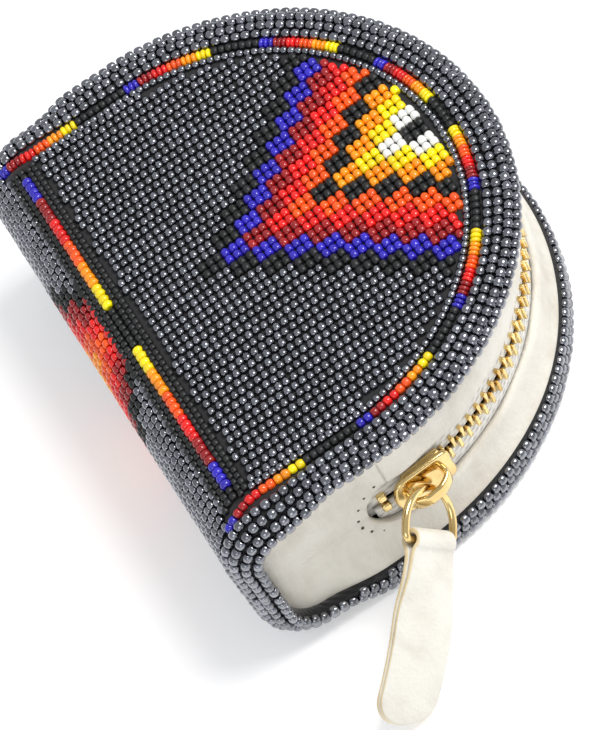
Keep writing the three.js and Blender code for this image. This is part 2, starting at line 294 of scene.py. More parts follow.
def link_mesh(name, vertices, faces, materials, index=None, smooth=True):
    """A mesh object from millimetres. Every face is a list or row of corners."""
    mesh = bpy.data.meshes.new(name)
    mesh.from_pydata((np.asarray(vertices, float) * MM).tolist(), [], [list(map(int, f)) for f in faces])
    for m in materials:
        mesh.materials.append(m)
    if index is not None:
        mesh.polygons.foreach_set("material_index", np.asarray(index, np.int32))
    if smooth:
        mesh.shade_smooth()
    mesh.update()
    obj = bpy.data.objects.new(name, mesh)
    bpy.context.scene.collection.objects.link(obj)
    return obj


def grid_faces(rows, columns, start=0, closed_rows=False, closed_columns=False):
    i, j = np.meshgrid(np.arange(rows if closed_rows else rows - 1),
                       np.arange(columns if closed_columns else columns - 1), indexing="ij")
    i2, j2 = (i + 1) % rows, (j + 1) % columns
    quads = np.stack([i * columns + j, i2 * columns + j, i2 * columns + j2, i * columns + j2], -1)
    return quads.reshape(-1, 4) + start


def tube_faces(rows, columns):
    """Rings joined into a tube, with a cap on each end as the last two faces."""
    caps = [list(range(columns)), [(rows - 1) * columns + c for c in reversed(range(columns))]]
    return grid_faces(rows, columns, 0, False, True).tolist() + caps


def unit(v):
    v = np.asarray(v, float)
    return v / np.linalg.norm(v, axis=-1, keepdims=True)


def tidy_normals(obj):
    """Turns every face outwards."""
    bm = bmesh.new()
    bm.from_mesh(obj.data)
    bmesh.ops.remove_doubles(bm, verts=bm.verts, dist=1e-7)
    bmesh.ops.recalc_face_normals(bm, faces=bm.faces)
    bm.to_mesh(obj.data)
    bm.free()
    return obj


# ------------ beads


def bead_shape(segments=10):
    """A seed bead about its hole's axis: rounded shoulders, and a dimple where the hole is."""
    half = [(-0.34, 0.0), (-0.5, 0.42), (-0.44, 0.76), (-0.2, 0.97)]
    profile = half + [(-a, r) for a, r in reversed(half)]
    angles = np.arange(segments) * 2 * math.pi / segments
    points = [(profile[0][0], 0, 0)]
    for a, r in profile[1:-1]:
        points += [(a, r * math.cos(t), r * math.sin(t)) for t in angles]
    points.append((profile[-1][0], 0, 0))
    rings = len(profile) - 2
    faces = [(0, 1 + (s + 1) % segments, 1 + s) for s in range(segments)]
    for k in range(rings - 1):
        for s in range(segments):
            a, b = 1 + k * segments + s, 1 + k * segments + (s + 1) % segments
            faces.append((a, b, b + segments, a + segments))
    last = len(points) - 1
    low = 1 + (rings - 1) * segments
    faces += [(last, low + s, low + (s + 1) % segments) for s in range(segments)]
    return np.array(points), faces


class Beads:
    """Gathers beads (place, hole axis, outward normal, diameter, length, colour), then makes one mesh."""

    def __init__(self):
        self.rows = []

    def add(self, place, axis, normal, diameter, length, colour):
        self.rows.append((place, axis, normal, diameter, length, colour))

    def make(self, name, body, slot, materials, nodes=(), wobble=0.05, segments=10):
        points, faces = bead_shape(segments)
        colours = sorted({r[5] for r in self.rows})
        place = np.array([r[0] for r in self.rows], float)
        axis = unit(np.array([r[1] for r in self.rows], float))
        normal = unit(np.array([r[2] for r in self.rows], float))
        diameter = np.array([r[3] for r in self.rows], float)
        length = np.array([r[4] for r in self.rows], float)
        n = len(place)
        lean, turn = rng.normal(0, 0.07, (n, 1)), rng.normal(0, 0.07, (n, 1))
        axis = unit(axis + normal * lean + np.cross(axis, normal) * turn)
        side = unit(np.cross(normal, axis))
        top = np.cross(axis, side)
        size = 1 + rng.uniform(-0.04, 0.04, n)
        place = place + axis * rng.normal(0, wobble, (n, 1)) + side * rng.normal(0, wobble, (n, 1))
        place = place - normal * np.abs(rng.normal(0, wobble * 0.8, (n, 1)))
        extent = np.stack([length * size, diameter / 2 * size, diameter / 2 * size], -1)
        local = points[None] * extent[:, None]
        world = (place[:, None] + local[..., :1] * axis[:, None] + local[..., 1:2] * side[:, None]
                 + local[..., 2:] * top[:, None])
        sizes = np.array([len(f) for f in faces])
        corners = np.concatenate([np.array(f) for f in faces])
        offset = np.arange(n)[:, None] * len(points)
        mesh = bpy.data.meshes.new(name)
        mesh.vertices.add(n * len(points))
        mesh.vertices.foreach_set("co", (world * MM).astype(np.float32).ravel())
        mesh.loops.add(n * len(corners))
        mesh.loops.foreach_set("vertex_index", (corners[None] + offset).astype(np.int32).ravel())
        mesh.polygons.add(n * len(sizes))
        starts = np.concatenate([[0], np.cumsum(sizes)[:-1]])
        mesh.polygons.foreach_set("loop_start", (starts[None] + np.arange(n)[:, None] * len(corners)).astype(
            np.int32).ravel())
        mesh.polygons.foreach_set("loop_total", np.tile(sizes, n).astype(np.int32))
        for c in colours:
            mesh.materials.append(materials[c])
        which = np.array([colours.index(r[5]) for r in self.rows])
        mesh.polygons.foreach_set("material_index", np.repeat(which, len(sizes)).astype(np.int32))
        mesh.update(calc_edges=True)
        mesh.shade_smooth()
        tone = np.repeat(rng.uniform(0, 1, n), len(points))
        mesh.attributes.new("tone", "FLOAT", "POINT").data.foreach_set("value", tone.astype(np.float32))
        obj = bpy.data.objects.new(name, mesh)
        bpy.context.scene.collection.objects.link(obj)
        return place_piece(obj, body, nodes)


def place_piece(obj, body, nodes=()):
    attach(obj, body)
    if nodes:
        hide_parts(*nodes)
    return obj


# ------------ the purse's surface

HALF_WIDTH = 55.7
THICKNESS = 42.0
MIDDLE = THICKNESS / 2
EDGE = 6.0  # radius of the rim where it turns round the spine's ends
SPINE = 12.0  # radius of the spine
CORE = HALF_WIDTH - EDGE
SPINE_Y = -33.0
ROLL_Y = SPINE_Y + SPINE  # where the face turns into the spine
BEAD_DEPTH = 0.95  # from the outer surface to a bead's middle
PITCH = 1.67  # from one field row to the next
CLOSED = 0.1132  # the slider's angle about the round end's centre when the zip is closed


def resample(points, pitch, ends=0.5):
    """Even places along a line, and the tangent at each."""
    step = np.linalg.norm(np.diff(points[:, :3], axis=0), axis=1)
    run = np.concatenate([[0], np.cumsum(step)])
    count = max(1, int(round(run[-1] / pitch)))
    at = (np.arange(count) + ends) * run[-1] / count
    out = np.stack([np.interp(at, run, points[:, k]) for k in range(points.shape[1])], -1)
    ahead = np.stack([np.interp(at + 0.05, run, points[:, k]) for k in range(3)], -1)
    behind = np.stack([np.interp(at - 0.05, run, points[:, k]) for k in range(3)], -1)
    return out, unit(ahead - behind)


SPINE_STATIONS = 52  # places on the rim's path, from the middle of the spine to the face


def rim_track(side, samples=400):
    """The rim's path on one half, from the middle of the spine on the right, round the end, to the left.
    Each row holds a point of the core's edge, the direction outwards in plan, and the face's normal there."""
    rows = []
    z = lambda height: MIDDLE + side * height
    reach = MIDDLE - SPINE  # height of the spine roll's centre above the middle

    def spine(sign):
        out = []
        for t in np.linspace(0, 1, 12, endpoint=False):
            out.append(((sign * CORE, ROLL_Y - EDGE, z(reach * t)), (sign, 0, 0), (0, -1, 0)))
        for a in np.linspace(0, math.pi / 2, SPINE_STATIONS - 12, endpoint=False):
            n = (0, -math.cos(a), side * math.sin(a))
            point = (sign * CORE, ROLL_Y - EDGE * math.cos(a), z(reach + EDGE * math.sin(a)))
            out.append((point, (sign, 0, 0), n))
        for t in np.linspace(0, 1, 20, endpoint=False):
            out.append(((sign * CORE, ROLL_Y * (1 - t), z(MIDDLE - EDGE)), (sign, 0, 0), (0, 0, side)))
        return out

    rows += spine(1)
    for a in np.linspace(0, math.pi, samples):
        c, s = math.cos(a), math.sin(a)
        rows.append(((CORE * c, CORE * s, z(MIDDLE - EDGE)), (c, s, 0), (0, 0, side)))
    rows += reversed(spine(-1))
    return np.array([np.concatenate(r) for r in rows])


def tightness(y):
    """The rim is a full roll at the spine's ends and tightens to a sharp edge along the sides."""
    f = np.clip((y - ROLL_Y) / 13, 0, 1)
    return f * f * (3 - 2 * f)


def rim_row(side, radius, roll, inset, depth, lean, start):
    """One line round the rim: at an angle on the roll, and at an inset and a depth on the tight edge."""
    track = rim_track(side)
    weight = tightness(track[:, 1])
    track, weight = track[weight > start], weight[weight > start][:, None]
    out, up = track[:, 3:6], track[:, 6:9]
    rolled = out * math.cos(roll) + up * math.sin(roll)
    tight = out * math.cos(lean) + up * math.sin(lean)
    flat = out * (EDGE - inset) + up * (EDGE - depth)
    place = track[:, :3] + radius * rolled * (1 - weight) + flat * weight
    return np.hstack([place, unit(rolled * (1 - weight) + tight * weight)])


def spine_point(x, s, radius):
    """A place on the spine's roll and its normal: s runs along the surface from where the front face ends,
    and the radius is from the roll's centre."""
    turn = SPINE * math.pi / 2
    straight = THICKNESS - 2 * SPINE
    if s < turn:
        a = s / SPINE
        n = (0, -math.sin(a), math.cos(a))
        centre = (x, ROLL_Y, THICKNESS - SPINE)
    elif s < turn + straight:
        n = (0, -1, 0)
        centre = (x, ROLL_Y, THICKNESS - SPINE - (s - turn))
    else:
        a = (s - turn - straight) / SPINE
        n = (0, -math.cos(a), -math.sin(a))
        centre = (x, ROLL_Y, SPINE)
    return np.array(centre) + radius * np.array(n), np.array(n)


def face_point(x, y, side):
    return (x, y, MIDDLE + side * (MIDDLE - BEAD_DEPTH)), (0, 0, side)


# ------------ the bead pattern

SUNSET = ["yellow", "amber", "orange", "red", "dark_red", "blue"]
# rows that the pattern climbs from column to column, outwards to the right and to the left
STEPS = {1: (3, 3, 3, 2.5, 2.5, 2.5, 2.5), -1: (3, 2.5, 2.5, 3, 2.5, 2.5, 2.5)}
MOTIF_FOOT = -1.4  # where the blue block of the middle column starts
PAIR = 3.74  # width of a pair of columns
BANDS = ["black", "blue", "dark_red", "red", "orange", "black", "amber", "yellow", "white"]


def climb(k):
    """How many rows the pattern has climbed at pair-column k."""
    side = 1 if k >= 0 else -1
    steps = STEPS[side]
    return sum(steps[i] if i < len(steps) else 2.5 for i in range(abs(k)))


def motif_colour(row, k):
    """Row is counted from the foot of the middle column's blue block."""
    if abs(k) > 8:
        return "hematite"
    band = math.floor((row - climb(k)) / 3 + 1e-6)
    if band < -1:
        return "hematite"
    return BANDS[band + 1] if band + 1 < len(BANDS) else "black"


FIELD_RADIUS = HALF_WIDTH - 11.55  # the field's outermost bead centres
FIELD_LOW = -19.9  # the field's last row before the spine
FIELD_BEAD = (1.66, 1.62)  # diameter and length


def field_beads(side):
    beads = Beads()
    for k in range(-13, 14):
        phase = climb(k) % 1
        for half in (-0.5, 0.5):
            x = (k + half / 2) * PAIR
            if abs(x) > FIELD_RADIUS:
                continue
            for j in range(-14, 32):
                row = j + phase
                y = MOTIF_FOOT + (row + 0.5) * PITCH
                if y < FIELD_LOW or (y > 0 and math.hypot(x, y) > FIELD_RADIUS):
                    continue
                place, normal = face_point(x, y, side)
                colour = motif_colour(row, k)
                fit = 0.98 if colour == "hematite" else 1.07
                beads.add(place, (1, 0, 0), normal, FIELD_BEAD[0] * fit, FIELD_BEAD[1] * fit, colour)
    return beads


def dash_colours(count_each, flip):
    colours = [c for c in SUNSET for _ in range(count_each)]
    return colours[::-1] if flip else colours


LANE_RADIUS = HALF_WIDTH - 8.45  # the accent lane's middle
LANE_TAIL = 7.4  # how far the lane runs on round the spine
DISC_WIDTH = 2.25
ROUND_WIDTH = 1.85


def lane_beads(side):
    """The accent lane: dashes of six colours, blue first, with matte black beads between them. The two dashes
    nearest the zip's closed end are of round beads, the others of thin discs."""
    beads = Beads()
    for sign in (1, -1):
        track = []
        for y in np.linspace(ROLL_Y - LANE_TAIL, ROLL_Y, 12, endpoint=False):
            drop = SPINE - BEAD_DEPTH
            a = math.asin((ROLL_Y - y) / drop)
            track.append((sign * (LANE_RADIUS + 2.2 * math.sin(a)), y, drop * math.cos(a) + MIDDLE - SPINE,
                          0, -math.sin(a), math.cos(a)))
        for y in np.linspace(ROLL_Y, 0, 20, endpoint=False):
            track.append((sign * LANE_RADIUS, y, MIDDLE - BEAD_DEPTH, 0, 0, 1))
        for a in np.linspace(0, math.pi / 2, 120):
            track.append((sign * LANE_RADIUS * math.cos(a), LANE_RADIUS * math.sin(a), MIDDLE - BEAD_DEPTH,
                          0, 0, 1))
        track = np.array(track)
        track[:, 2] = MIDDLE + side * track[:, 2]
        track[:, 5] *= side
        run = np.concatenate([[0], np.cumsum(np.linalg.norm(np.diff(track[:, :3], axis=0), axis=1))])
        length = run[-1]
        quarter = length - LANE_RADIUS * math.pi / 2
        arc = lambda degrees: quarter + LANE_RADIUS * math.radians(degrees)
        dashes = [(quarter - 29.2, quarter - 10.2)]
        dashes += [(arc(a), arc(b)) for a, b in ((1.5, 24), (36, 56), (66.5, 85))]
        marks = []
        for i, (a, b) in enumerate(dashes):
            round_beads = sign > 0 and i < 2
            each = 2 if round_beads else 3
            pitch = (b - a) / (6 * each)
            names = dash_colours(each, True)
            marks += [(a + (j + 0.5) * pitch, pitch, names[j], ROUND_WIDTH if round_beads else DISC_WIDTH)
                      for j in range(6 * each)]
        edges = [0] + [v for d in dashes for v in d] + [length]
        for a, b in zip(edges[::2], edges[1::2]):
            count = int((b - a) / 1.3)
            pitch = (b - a) / count
            marks += [(a + (j + 0.5) * pitch, pitch, "black", 1.75) for j in range(count)]
        for at, pitch, colour, width in marks:
            here = np.array([np.interp(at, run, track[:, k]) for k in range(6)])
            ahead = np.array([np.interp(at + 0.3, run, track[:, k]) for k in range(3)])
            behind = np.array([np.interp(at - 0.3, run, track[:, k]) for k in range(3)])
            sunk = here[:3] - here[3:] * max(0, width / 2 - BEAD_DEPTH + 0.05)
            beads.add(sunk, ahead - behind, here[3:], width, pitch * 0.98, colour)
    return beads


def edging_beads(side):
    """The bright row between the lane and the field."""
    beads = Beads()
    radius = HALF_WIDTH - 10.3
    track = [(radius, y) for y in np.linspace(ROLL_Y, 0, 20, endpoint=False)]
    track += [(radius * math.cos(a), radius * math.sin(a)) for a in np.linspace(0, math.pi, 200)]
    track += [(-radius, y) for y in np.linspace(0, ROLL_Y, 21)[1:]]
    track = np.array([(x, y, MIDDLE + side * (MIDDLE - BEAD_DEPTH)) for x, y in track])
    for place, tangent in zip(*resample(track, 1.5)):
        beads.add(place, tangent, (0, 0, side), 1.6, 1.4, "hematite")
    return beads


RIM_BEAD = (2.08, 1.86)  # diameter and length
RIM_PITCH = 2.04
# angle on the roll, inset and depth on the tight edge, lean there, and the tightness where the row starts
RIM_ROWS = [(84, 6.35, 1.0, 90, -1), (60, 4.4, 1.0, 88, -1), (35, 2.5, 1.02, 80, -1), (10, 1.05, 1.6, 35, -1)]
SIDE_ROWS = [(-14, 1.05, 3.4, 0, 0.45), (-36, 1.05, 5.2, 0, 0.93)]


def rim_beads(side):
    """Rows of larger beads that roll from the face to the leather; the back has two more down its side."""
    beads = Beads()
    for i, (roll, inset, depth, lean, start) in enumerate(RIM_ROWS + (SIDE_ROWS if side < 0 else [])):
        row = rim_row(side, EDGE - 1.02, math.radians(roll), inset, depth, math.radians(lean), start)
        for place, tangent in zip(*resample(row, RIM_PITCH, 0.25 + 0.5 * (i % 2))):
            beads.add(place[:3], tangent, place[3:6], *RIM_BEAD, "hematite")
    return beads


SPINE_DASH = (5.6, 42.6)  # where the straight accent line's dash starts and ends, each side of the middle
DASH_BEADS = 24
ACCENT_S = 3.4  # the accent line's place along the spine's surface
FIELD_S = 7.4  # where the plain rows end


def diamond(x, row):
    """The spine's motif: blocks that widen towards the fold."""
    block = abs(round((x + 2) / PAIR))
    level = int((block * 2.5 + row) // 3)
    if level > 6 or block > 7:
        return "hematite"
    return ["yellow", "yellow", "amber", "orange", "red", "dark_red", "black"][level]


def spine_beads(side):
    """Rows along the spine: two matte black, the straight accent line, two black again, then the field."""
    beads = Beads()

    def bead(x, s, width, length, colour, lift=0.0):
        place, normal = spine_point(x, s, SPINE - BEAD_DEPTH + lift)
        if side < 0:
            place[2], normal[2] = THICKNESS - place[2], -normal[2]
        beads.add(place, (1, 0, 0), normal, width, length, colour)

    def row(s, pitch, width, colour_of, shift=0.0, thick=0.94):
        inner = LANE_RADIUS - 1.2 if s < LANE_TAIL + 1 else CORE - 0.6
        count = int(2 * inner / pitch)
        for j in range(count):
            x = (j - (count - 1) / 2 + shift) * pitch
            bead(x, s, width, pitch * thick, colour_of(x))

    black = lambda x: "black"
    row(0.5, 1.42, 1.5, black)
    row(1.75, 1.42, 1.4, black, 0.4)
    row(5.05, 1.5, 1.55, black)
    row(6.5, 1.5, 1.55, black, 0.4)
    start, end = SPINE_DASH
    pitch = (end - start) / DASH_BEADS
    names = dash_colours(DASH_BEADS // len(SUNSET), False)
    for sign in (1, -1):
        for j in range(DASH_BEADS):
            bead(sign * (start + (j + 0.5) * pitch), ACCENT_S, 2.35, pitch, names[j], 0.1)
        for j in range(2):
            bead(sign * (end + (j + 0.5) * 1.45), ACCENT_S, 1.6, 1.4, "black")
    for j in range(7):
        bead((j - 3) * 1.5, ACCENT_S, 1.6, 1.45, "black")
    middle = (SPINE * math.pi + THICKNESS - 2 * SPINE) / 2
    for i in range(int((middle - FIELD_S) / PITCH) + 1):
        row(middle - (i + 0.5) * PITCH, 1.87, 1.64, lambda x: diamond(x, i), 0.0, 0.88)
    return beads


# ------------ backing under the beads


def backing(side, body, materials, name):
    """The stitched ground that the beads lie on: the face, its turned-down edge and half of the spine."""
    track = rim_track(side, 120)
    weight = tightness(track[:, 1])[:, None]
    out, up = track[:, 3:6], track[:, 6:9]
    foot = 3.0 if side > 0 else 6.3
    tight = [(3.7, foot), (1.35, foot), (1.4, 2.2), (2.0, 1.5), (3.0, 1.35), (4.5, 1.35), (6.0, 1.35)]
    verts = []
    turns = len(tight) - 1
    for b, (inset, depth) in enumerate(tight):
        beta = math.pi / 2 * max(0, b - 1) / (turns - 1)
        reach = EDGE - 1.35 - (2.3 if b == 0 else 0)
        rolled = reach * (out * math.cos(beta) + up * math.sin(beta))
        flat = out * (EDGE - inset) + up * (EDGE - depth)
        verts.append(track[:, :3] + rolled * (1 - weight) + flat * weight)
    count = len(track)
    faces = grid_faces(turns + 1, count).tolist()
    top = turns * count
    right = np.arange(0, SPINE_STATIONS + 1) + top
    left = np.arange(count - 1, count - 2 - SPINE_STATIONS, -1) + top
    faces.append(list(range(top + SPINE_STATIONS, top + count - SPINE_STATIONS)))
    for k in range(SPINE_STATIONS):
        faces.append([right[k], right[k + 1], left[k + 1], left[k]])
    obj = link_mesh(name, np.vstack(verts), faces, [materials["thread"]])
    tidy_normals(obj)
    solid = obj.modifiers.new("thickness", "SOLIDIFY")
    solid.thickness = 0.00035
    solid.offset = -1
    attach(obj, body)
    return obj


# ------------ sweeps and rounded slabs


def frames_along(path, reference, closed=False):
    """Tangent, side and normal at each point of a path; the side leans on a reference direction."""
    path = np.asarray(path, float)
    if closed:
        tangent = unit(np.roll(path, -1, 0) - np.roll(path, 1, 0))
    else:
        tangent = unit(np.gradient(path, axis=0))
    reference = np.broadcast_to(np.asarray(reference, float), path.shape)
    side = unit(np.cross(reference, tangent))
    return tangent, side, np.cross(tangent, side)


def sweep(name, path, section, reference, materials, closed=False, scale=None):
    """Sweeps a closed section of (side, normal) points along a path; the ends are capped."""
    path = np.asarray(path, float)
    section = np.asarray(section, float)
    _, side, normal = frames_along(path, reference, closed)
    factor = np.ones((len(path), 2)) if scale is None else np.asarray(scale, float)
    points = (path[:, None] + side[:, None] * (section[None, :, :1] * factor[:, None, :1])
              + normal[:, None] * (section[None, :, 1:] * factor[:, None, 1:]))
    rows, columns = len(path), len(section)
    faces = grid_faces(rows, columns, 0, True, True).tolist() if closed else tube_faces(rows, columns)
    return tidy_normals(link_mesh(name, points.reshape(-1, 3), faces, materials))


def oval(a, b, count, power=2.0):
    """A rounded section; a higher power makes it squarer."""
    t = np.arange(count) * 2 * math.pi / count
    c, s = np.cos(t), np.sin(t)
    flat = lambda v: np.sign(v) * np.abs(v) ** (2 / power)
    return np.stack([a * flat(c), b * flat(s)], -1)


def smooth_loop(points, count, closed=True):
    """Catmull-Rom through a few corners."""
    points = np.asarray(points, float)
    n = len(points)
    spans = n if closed else n - 1
    out = []
    for t in np.linspace(0, spans, count, endpoint=not closed):
        i = min(int(t), spans - 1)
        f = t - i
        pick = (lambda k: points[k % n]) if closed else (lambda k: points[min(max(k, 0), n - 1)])
        p0, p1, p2, p3 = pick(i - 1), pick(i), pick(i + 1), pick(i + 2)
        out.append(0.5 * (2 * p1 + (p2 - p0) * f + (2 * p0 - 5 * p1 + 4 * p2 - p3) * f ** 2
                          + (3 * p1 - p0 - 3 * p2 + p3) * f ** 3))
    return np.array(out)


def rounded_slab(outline, low, high, edge, steps=3):
    """A slab whose rims are rounded: local points (u, v, w) with w from low to high, and its faces."""
    outline = np.asarray(outline, float)
    ahead = unit(np.roll(outline, -1, 0) - np.roll(outline, 1, 0))
    inward = np.stack([-ahead[:, 1], ahead[:, 0]], -1)
    area = np.sum(outline[:, 0] * np.roll(outline[:, 1], -1) - np.roll(outline[:, 0], -1) * outline[:, 1])
    inward *= np.sign(area)
    rings = []
    for s in range(steps + 1):
        a = math.pi / 2 * s / steps
        rings.append((edge * (1 - math.sin(a)), low + edge * (1 - math.cos(a))))
    for s in range(steps + 1):
        a = math.pi / 2 * (1 - s / steps)
        rings.append((edge * (1 - math.sin(a)), high - edge * (1 - math.cos(a))))
    points = [np.hstack([outline + inward * shift, np.full((len(outline), 1), w)]) for shift, w in rings]
    return np.vstack(points), tube_faces(len(rings), len(outline))


def joined(name, parts, materials):
    """One mesh from several lists of points and faces."""
    verts, faces, start = [], [], 0
    for points, corners in parts:
        verts.append(points)
        faces += [[c + start for c in f] for f in corners]
        start += len(points)
    return tidy_normals(link_mesh(name, np.vstack(verts), faces, materials))


# ------------ gusset, tapes and teeth

SLOT = 6.0  # half the slot's width
LEATHER_OUTER = 3.6  # inset of the leather's outer face
LEATHER = 1.2  # its thickness
CHAIN_RADIUS = 50.35  # the middle of the teeth
TOOTH_PITCH = 2.54
TAPE_INSET = 5.1


def tape_path(low_y):
    """The U that a tape follows, from right to left: places in plan, then the outward normal."""
    radius = HALF_WIDTH - TAPE_INSET
    ys = np.linspace(low_y, 0, 6, endpoint=False)
    rows = [(radius, y, 1, 0) for y in ys]
    rows += [(radius * math.cos(a), radius * math.sin(a), math.cos(a), math.sin(a))
             for a in np.linspace(0, math.pi, 150)]
    return np.array(rows + [(-radius, y, -1, 0) for y in ys[::-1]])


def leather_limits(y):
    """Lowest and highest place of the leather at y, under the rims and round the spine."""
    f = math.sqrt(max(0.0, 1 - (min(0.0, y - ROLL_Y) / 7.2) ** 2))
    return SPINE - 6 * f, THICKNESS - SPINE + 9.8 * f


def slot_edge(y):
    """Half the slot's height at y: its ends are round."""
    if y >= 0:
        return SLOT
    return math.sqrt(max(0.0, SLOT ** 2 - y ** 2)) if y > -SLOT else 0.0


def pucker(run, z, y):
    """How far the leather stands off its band: a flare down to the back beads, broad waves, and creases that
    gather at the slot's ends."""
    edge = slot_edge(y)
    near = math.exp(-((abs(z - MIDDLE) - edge) / 3.5) ** 2)
    end = math.exp(-((y + 5) / 9) ** 2)
    flare = 1.8 * float(tightness(y)) * math.exp(-max(0.0, z - 6.2) / 1.7)
    wave = flare + 0.16 * math.sin(run * 0.42 + 0.25 * z) * near + 0.1 * math.sin(run * 0.13 - 0.3 * z + 1)
    return wave + end * 0.22 * math.sin(z * 1.35 + 0.5 * y) * near


def leather_sheet(name, path, lower, upper, fold_low, fold_high, materials, rows=16):
    """A closed sheet of leather along a plan path between two heights; folded edges are rounded and sunk."""
    step = np.concatenate([[0], np.cumsum(np.linalg.norm(np.diff(path[:, :2], axis=0), axis=1))])
    outer, inner = [], []
    for (x, y, nx, ny), run in zip(path, step):
        z0, z1 = lower(y), upper(y)
        for r in range(rows):
            f = 0.5 - 0.5 * math.cos(math.pi * r / (rows - 1))
            z = z0 + (z1 - z0) * f
            lift = pucker(run, z, y)
            for fold, edge in ((fold_low, z0), (fold_high, z1)):
                if fold and abs(edge - MIDDLE) > 0.5:
                    d = min(1.0, abs(z - edge) / 1.1)
                    lift -= 0.55 * (1 - math.sqrt(1 - (1 - d) ** 2))
            outer.append((x + nx * lift, y + ny * lift, z))
            back = -LEATHER + 0.3 * lift
            inner.append((x + nx * back, y + ny * back, z))
    count = len(path)
    faces = grid_faces(count, rows).tolist()
    faces += [f[::-1] for f in grid_faces(count, rows, count * rows).tolist()]
    total = count * rows
    for i in range(count - 1):
        for r in (0, rows - 1):
            a, b = i * rows + r, (i + 1) * rows + r
            faces.append([a, b, b + total, a + total])
    for r in range(rows - 1):
        for i in (0, count - 1):
            a, b = i * rows + r, i * rows + r + 1
            faces.append([a, b, b + total, a + total])
    obj = link_mesh(name, np.array(outer + inner), faces, materials)
    return tidy_normals(obj)


def eased_ys(low):
    """Straight-side stations, closer together at the slot's round end."""
    near = -SLOT + SLOT * (1 - np.cos(np.linspace(0, math.pi / 2, 16, endpoint=False)))
    return np.concatenate([np.linspace(low, -SLOT, 26, endpoint=False), near])


def gusset(materials):
    low = -28.1
    radius = HALF_WIDTH - LEATHER_OUTER
    stations = eased_ys(low)
    right = np.array([(radius, y, 1, 0) for y in stations] + [(radius, 0, 1, 0)])
    left = np.array([(-radius, 0, -1, 0)] + [(-radius, y, -1, 0) for y in stations[::-1]])
    curve = np.array([(radius * math.cos(a), radius * math.sin(a), math.cos(a), math.sin(a))
                      for a in np.linspace(0, math.pi, 170)])
    floor = lambda y: leather_limits(y)[0]
    roof = lambda y: leather_limits(y)[1]
    below = lambda y: MIDDLE - slot_edge(y)
    above = lambda y: MIDDLE + slot_edge(y)
    whole = np.vstack([right[:-1], curve, left[1:]])
    back = leather_sheet("back_gusset_leather", whole, floor, below, False, True, materials)
    place_piece(back, "back_half", ["back_gusset"])
    for name, path in (("right", right), ("left", left)):
        open_at_gore(leather_sheet(f"{name}_gore_leather", path, above, roof, True, False, materials))
    arc = leather_sheet("front_gusset_leather", curve, above, roof, True, False, materials)
    open_across_arc(arc, "front_gusset")


def open_across_arc(obj, node):
    """Bakes the piece's transform into its mesh and hides the CAD node that it replaces."""
    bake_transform(obj)
    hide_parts(node)


def open_at_gore(obj):
    """Bakes the piece's transform into its mesh."""
    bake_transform(obj)


def needle_hole_shade_dots(materials):
    """A few dark dots set back from the slot's edge, round each of its ends: painted shade standing in for
    the needle holes there.
    """
    reach, pitch, radius = SLOT + 2.2, 3.0, HALF_WIDTH - LEATHER_OUTER
    quarter = reach * math.pi / 2
    dome = [(0.3, -0.3), (0.3, 0.06), (0.18, 0.12), (0.02, 0.14)]
    for side, name in ((1, "front"), (-1, "back")):
        parts = []
        for sign in (1, -1):
            for t in np.arange(0.5 * pitch, quarter, pitch):
                a = t / reach
                y, z = -reach * math.cos(a), MIDDLE + side * reach * math.sin(a)
                lift = pucker(abs(y), z, y)
                ring = [(sign * (radius + lift + h), y + r * math.cos(k), z + r * math.sin(k))
                        for r, h in dome for k in np.arange(8) * math.pi / 4]
                parts.append((np.array(ring), tube_faces(len(dome), 8)))
        # the dark colour of these small domes is painted shade for the inside of the needle holes
        obj = joined(f"{name}_needle_hole_shade_dots", parts, [materials["painted_hole_shade"]])
        if side > 0:
            open_at_gore(obj)
        else:
            place_piece(obj, "back_half")


def slot_end_cloth(materials):
    """The tape's ends, turned in across the slot at both ends of the zip."""
    parts = []
    for sign in (1, -1):
        points, faces = rounded_slab(oval(2.3, 3.6, 28, 5.0), -0.3, 0.3, 0.12, 2)
        waves = 0.22 * np.sin(points[:, 1] * 1.1 + 0.6) * np.cos(points[:, 0] * 0.7)
        world = np.stack([sign * (HALF_WIDTH - 6.1 + points[:, 2] + waves), points[:, 0] - 4.7,
                          MIDDLE + points[:, 1]], -1)
        parts.append((world, faces))
    place_piece(joined("slot_end_cloth", parts, [materials["tape"]]), "back_half")


def tapes(materials):
    for side, name in ((1, "front"), (-1, "back")):
        path = tape_path(-4.5)
        heights = [1.15, 1.6, 2.4, 5.0, 8.5, 11.1]
        thick = [0.5, 0.3, 0.25, 0.25, 0.25, 0.25]
        section = list(zip(heights, thick))
        section += [(h, -t) for h, t in section[::-1]]
        points = []
        for x, y, nx, ny in path:
            for h, t in section:
                off = -0.25 + t
                points.append((x + nx * off, y + ny * off, MIDDLE + side * h))
        faces = tube_faces(len(path), len(section))
        obj = tidy_normals(link_mesh(f"{name}_tape_cloth", points, faces, [materials["tape"]]))
        if side > 0:
            open_across_arc(obj, "front_zip_tape")
        else:
            place_piece(obj, "back_half", ["back_zip_tape"])


def tooth_part(angle, side):
    """One cast tooth: legs that grip the tape's cord, a neck and a rounded head."""
    half = [(-0.62, 0.0), (-0.5, 0.3), (0.1, 0.42), (0.75, 0.3), (1.25, 0.38), (2.2, 0.46), (2.6, 0.3),
            (2.65, 0.0)]
    outline = half + [(z, -w) for z, w in half[-2:0:-1]]
    flat = np.array([(w, z * side) for z, w in outline])
    points, faces = rounded_slab(flat, -1.2, 1.2, 0.16, 2)
    c, s = math.cos(angle), math.sin(angle)
    radial, along = CHAIN_RADIUS + points[:, 2], points[:, 0]
    return np.stack([radial * c - along * s, radial * s + along * c, MIDDLE + points[:, 1]], -1), faces


